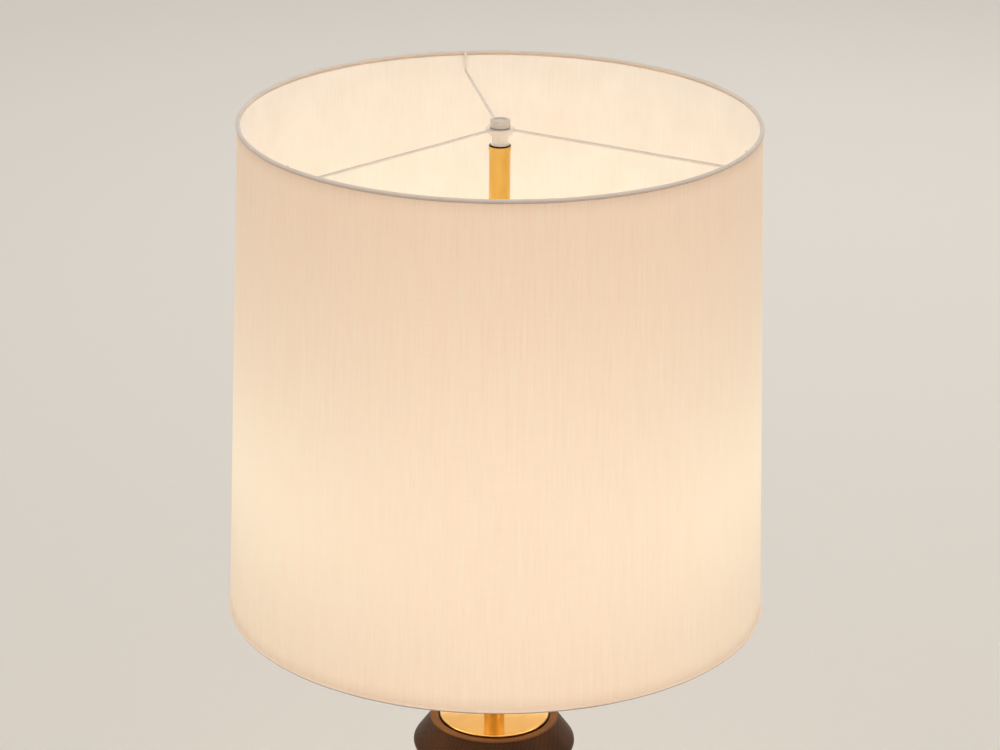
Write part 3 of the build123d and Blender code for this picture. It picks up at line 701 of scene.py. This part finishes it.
sheet_low = BOTTOM_Z + TRIM_R - TUCK
sheet_high = TOP_Z - TRIM_R + TUCK
cover = keep_made(
    cover_tree(),
    "linen_cover",
    {
        "Bottom Radius": BOTTOM_R + LINEN_OUT,
        "Top Radius": TOP_R + LINEN_OUT,
        "Bottom Height": sheet_low,
        "Top Height": sheet_high,
        "Lap Angle": LAP / BOTTOM_R,
        "Step": LINEN_WALL,
        "Ripple": RIPPLE,
        "Around": 541,
        "Up": 29,
        "Material": LINEN,
    },
)
# its faces turn away from the lamp's axis, and its wall goes inwards from them
first = cover.data.polygons[0]
if first.normal.x * first.center.x + first.normal.y * first.center.y < 0:
    cover.data.flip_normals()
wall = cover.modifiers.new("wall", "SOLIDIFY")
wall.thickness = COVER_WALL
wall.offset = -1.0
thick = plain_mesh(cover)
cover.modifiers.clear()
cover.data = thick


# ---------------------------------------------------------------- rolled edges
# Bias tape rolled over each ring wire. Its rule: a round section carried along the ring,
# a little fuller here and thinner there, and doubled where its ends meet at the back.
def rolled_tree():
    tree, sizes = rule_tree(
        "rolled_tape", ("Radius", "Height", "Section", "Wander", "Lap Angle"), ints=("Around",)
    )
    ring = add(
        tree,
        "GeometryNodeCurvePrimitiveCircle",
        {"Resolution": sizes["Around"], "Radius": sizes["Radius"]},
    )
    at = add(tree, "GeometryNodeInputPosition")
    uneven = add(tree, NOISE, {"Vector": at, "Scale": 45.0, "Detail": 2.0})
    drift = add(tree, VECTOR, (uneven.outputs["Color"], (0.5, 0.5, 0.5)), operation="SUBTRACT")
    shift = add(tree, VECTOR, {0: drift, "Scale": sizes["Wander"]}, operation="SCALE")
    lifted = add(tree, JOIN, {"Z": sizes["Height"]})
    offset = add(tree, VECTOR, (shift, lifted), operation="ADD")
    moved = add(tree, "GeometryNodeSetPosition", {"Geometry": ring, "Offset": offset})
    full = add(tree, NOISE, {"Vector": at, "Scale": 90.0, "Detail": 2.0})
    split = add(tree, SPLIT, (at,))
    bearing = add(tree, MATH, (split.outputs["X"], split.outputs["Y"]), operation="ARCTAN2")
    behind = add(tree, MATH, (bearing,), operation="ABSOLUTE")
    inner = add(tree, MATH, (sizes["Lap Angle"], 0.8), operation="MULTIPLY")
    doubled = add(
        tree,
        RANGE,
        {
            "Value": behind,
            "From Min": inner,
            "From Max": sizes["Lap Angle"],
            "To Min": 1.12,
            "To Max": 1.0,
        },
        interpolation_type="SMOOTHSTEP",
    )
    fuller = add(tree, RANGE, {"Value": full, "To Min": 0.93, "To Max": 1.07})
    swell = add(tree, MATH, (fuller, doubled), operation="MULTIPLY")
    section = add(
        tree,
        "GeometryNodeCurvePrimitiveCircle",
        {"Resolution": 16, "Radius": sizes["Section"]},
    )
    rolled = add(
        tree,
        "GeometryNodeCurveToMesh",
        {"Curve": moved, "Profile Curve": section, "Scale": swell},
    )
    return end_tree(tree, sizes, rolled)


rolled_rule = rolled_tree()
edges = {
    where: keep_made(
        rolled_rule,
        f"{where}_rolled_edge",
        {
            "Radius": ring_r,
            "Height": ring_z,
            "Section": ROLL_R,
            "Wander": ROLL_WANDER,
            "Lap Angle": ROLL_LAP_ANGLE,
            "Around": 480,
            "Material": tape_used,
        },
    )
    for where, ring_r, ring_z, tape_used in (
        ("top", TOP_R, TOP_Z, TOP_TAPE),
        ("bottom", BOTTOM_R, BOTTOM_Z, BOTTOM_TAPE),
    )
}


# ---------------------------------------------------------------- weld fillets
# A small collar of weld where each arm meets the hub washer. Its rule: a cone on each of
# the points spaced evenly round the hub, lying along its arm.
def fillet_tree():
    tree, sizes = rule_tree(
        "weld_fillets",
        ("First Angle", "Reach", "Height", "Wire", "Wide", "Long"),
        ints=("Count",),
    )
    spots = add(tree, "GeometryNodePoints", {"Count": sizes["Count"]})
    number = add(tree, "GeometryNodeInputIndex")
    share = add(tree, MATH, (number, sizes["Count"]), operation="DIVIDE")
    angle = add(tree, MATH, (share, TURN, sizes["First Angle"]), operation="MULTIPLY_ADD")
    x, y = (
        add(
            tree,
            MATH,
            (add(tree, MATH, (angle,), operation=wave), sizes["Reach"]),
            operation="MULTIPLY",
        )
        for wave in ("COSINE", "SINE")
    )
    point = add(tree, JOIN, (x, y, sizes["Height"]))
    placed = add(tree, "GeometryNodeSetPosition", {"Geometry": spots, "Position": point})
    collar = add(
        tree,
        "GeometryNodeMeshCone",
        {
            "Vertices": 20,
            "Side Segments": 3,
            "Radius Top": sizes["Wire"],
            "Radius Bottom": sizes["Wide"],
            "Depth": sizes["Long"],
        },
    )
    facing = add(tree, JOIN, (0.0, math.pi / 2, angle))
    copies = add(
        tree,
        "GeometryNodeInstanceOnPoints",
        {"Points": placed, "Instance": collar, "Rotation": facing},
    )
    return end_tree(tree, sizes, copies)


hub_low, hub_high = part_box("spider_hub")
hub_welds = keep_made(
    fillet_tree(),
    "hub_welds",
    {
        "First Angle": FIRST_ARM,
        "Reach": (hub_high.x - hub_low.x) / 2 - WELD_SUNK,
        "Height": (hub_low.z + hub_high.z) / 2 - 0.00005,
        "Wire": WIRE_R,
        "Wide": WIRE_R + WELD_PROUD,
        "Long": WELD_LONG,
        "Count": 3,
        "Material": ENAMEL,
    },
)


# ---------------------------------------------------------------- ball chains
# Hollow balls on short links. Its rule: a ball at each step down the line and a link
# between each two.
def chain_tree():
    tree, sizes = rule_tree(
        "ball_chain", ("Ball Radius", "Pitch", "Link Radius"), ("Top",), ("Count",)
    )
    down = add(tree, MATH, (sizes["Pitch"], -1.0), operation="MULTIPLY")
    step = add(tree, JOIN, {"Z": down})
    line = add(
        tree,
        "GeometryNodeMeshLine",
        {"Count": sizes["Count"], "Start Location": sizes["Top"], "Offset": step},
        mode="OFFSET",
    )
    ball = add(
        tree,
        "GeometryNodeMeshUVSphere",
        {"Segments": 12, "Rings": 8, "Radius": sizes["Ball Radius"]},
    )
    half = add(tree, VECTOR, {0: step, "Scale": 0.5}, operation="SCALE")
    lower = add(tree, "GeometryNodeSetPosition", {"Geometry": line, "Offset": half})
    # a link's ends are sunk in the balls
    sunk = add(tree, MATH, (sizes["Ball Radius"], 1.4), operation="MULTIPLY")
    link = add(
        tree,
        "GeometryNodeMeshCylinder",
        {
            "Vertices": 8,
            "Radius": sizes["Link Radius"],
            "Depth": add(tree, MATH, (sizes["Pitch"], sunk), operation="SUBTRACT"),
        },
    )
    both = add(tree, "GeometryNodeJoinGeometry")
    for points, shape in ((line, ball), (lower, link)):
        copies = add(tree, "GeometryNodeInstanceOnPoints", {"Points": points, "Instance": shape})
        tree.links.new(copies.outputs[0], both.inputs[0])
    return end_tree(tree, sizes, both)


chain_rule = chain_tree()
chains = {}
for hand in ("left", "right"):
    chain_low, chain_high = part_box(f"pull_chain_{hand}")
    ball_r = (chain_high.x - chain_low.x) / 2
    chains[hand] = keep_made(
        chain_rule,
        f"ball_chain_{hand}",
        {
            "Top": ((chain_low.x + chain_high.x) / 2, 0.0, chain_high.z - ball_r),
            "Ball Radius": ball_r,
            "Pitch": CHAIN_PITCH,
            "Link Radius": CHAIN_LINK_R,
            "Count": CHAIN_BALLS,
            "Material": BRASS,
        },
    )


# ---------------------------------------------------------------- what rides on what
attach(cover, "shade")
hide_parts("shade_fabric")
for where, edge in edges.items():
    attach(edge, "shade")
    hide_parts(f"{where}_trim")
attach(hub_welds, "shade")
for hand, chain in chains.items():
    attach(chain, f"pull_{hand}")
    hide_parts(f"pull_chain_{hand}")

# ---------------------------------------------------------------- floor, light, camera
FLOOR_R = 12
FLOOR_SIDES = 96
FLOOR_Z = -0.0002  # just under the felt
floor_mesh = bpy.data.meshes.new("floor")
floor_mesh.from_pydata(
    [
        (
            math.cos(i * TURN / FLOOR_SIDES) * FLOOR_R,
            math.sin(i * TURN / FLOOR_SIDES) * FLOOR_R,
            FLOOR_Z,
        )
        for i in range(FLOOR_SIDES)
    ],
    [],
    [list(range(FLOOR_SIDES))],
)
floor = bpy.data.objects.new("floor", floor_mesh)
scene.collection.objects.link(floor)
floor_paint, floor_tree, floor_shader = finish("pale_studio_floor")
feed(
    floor_tree,
    floor_shader,
    {"Base Color": hexa("#FAF7F2"), "Roughness": 0.9, "Specular IOR Level": 0.2},
)
floor_mesh.materials.append(floor_paint)

# The sky is palest at the horizon and darker overhead.
world = bpy.data.worlds.new("studio")
world.use_nodes = True
scene.world = world
sky = world.node_tree
sky.nodes.clear()
look = add(sky, PLACE)
rise = add(sky, SPLIT, (look.outputs["Generated"],))
tone = add(
    sky, RAMP, (rise.outputs["Z"],), stops=((0.0, "#E6E1DA"), (0.35, "#DDD8D1"), (0.95, "#A09D99"))
)
back = add(sky, "ShaderNodeBackground", {"Color": tone, "Strength": 1.06})
add(sky, "ShaderNodeOutputWorld", {"Surface": back})

# Three large soft lamps, each aimed at the middle of the object.
AIM = Vector((0, 0, 0.45))
for name, place, size, watts, tint in (
    ("key_left", (-2.6, -1.2, 2.2), 2.2, 8, "#FFF9F2"),
    ("fill_right", (2.4, -1.9, 1.7), 2.0, 9.5, "#FFF4EA"),
    ("soft_back", (0.6, 2.8, 2.4), 2.2, 18, "#FFFAF5"),
):
    lamp = bpy.data.lights.new(name, "AREA")
    lamp.shape = "DISK"
    lamp.size = size
    lamp.energy = watts
    lamp.color = hexa(tint)[:3]
    holder = bpy.data.objects.new(name, lamp)
    facing = (AIM - Vector(place)).to_track_quat("-Z", "Y").to_matrix().to_4x4()
    holder.matrix_world = Matrix.Translation(place) @ facing
    scene.collection.objects.link(holder)

CAMERA_AT = (0, -2.4566, 1.523)
SWING, TILT, ROLL = (math.radians(angle) for angle in (-0.042, 69.343, 0.591))
camera = bpy.data.cameras.new("camera")
camera.lens = 123.7
camera.sensor_width = 36
viewer = bpy.data.objects.new("camera", camera)
viewer.matrix_world = (
    Matrix.Translation(CAMERA_AT)
    @ Matrix.Rotation(SWING, 4, "Z")
    @ Matrix.Rotation(TILT, 4, "X")
    @ Matrix.Rotation(ROLL, 4, "Z")
)
scene.collection.objects.link(viewer)
scene.camera = viewer
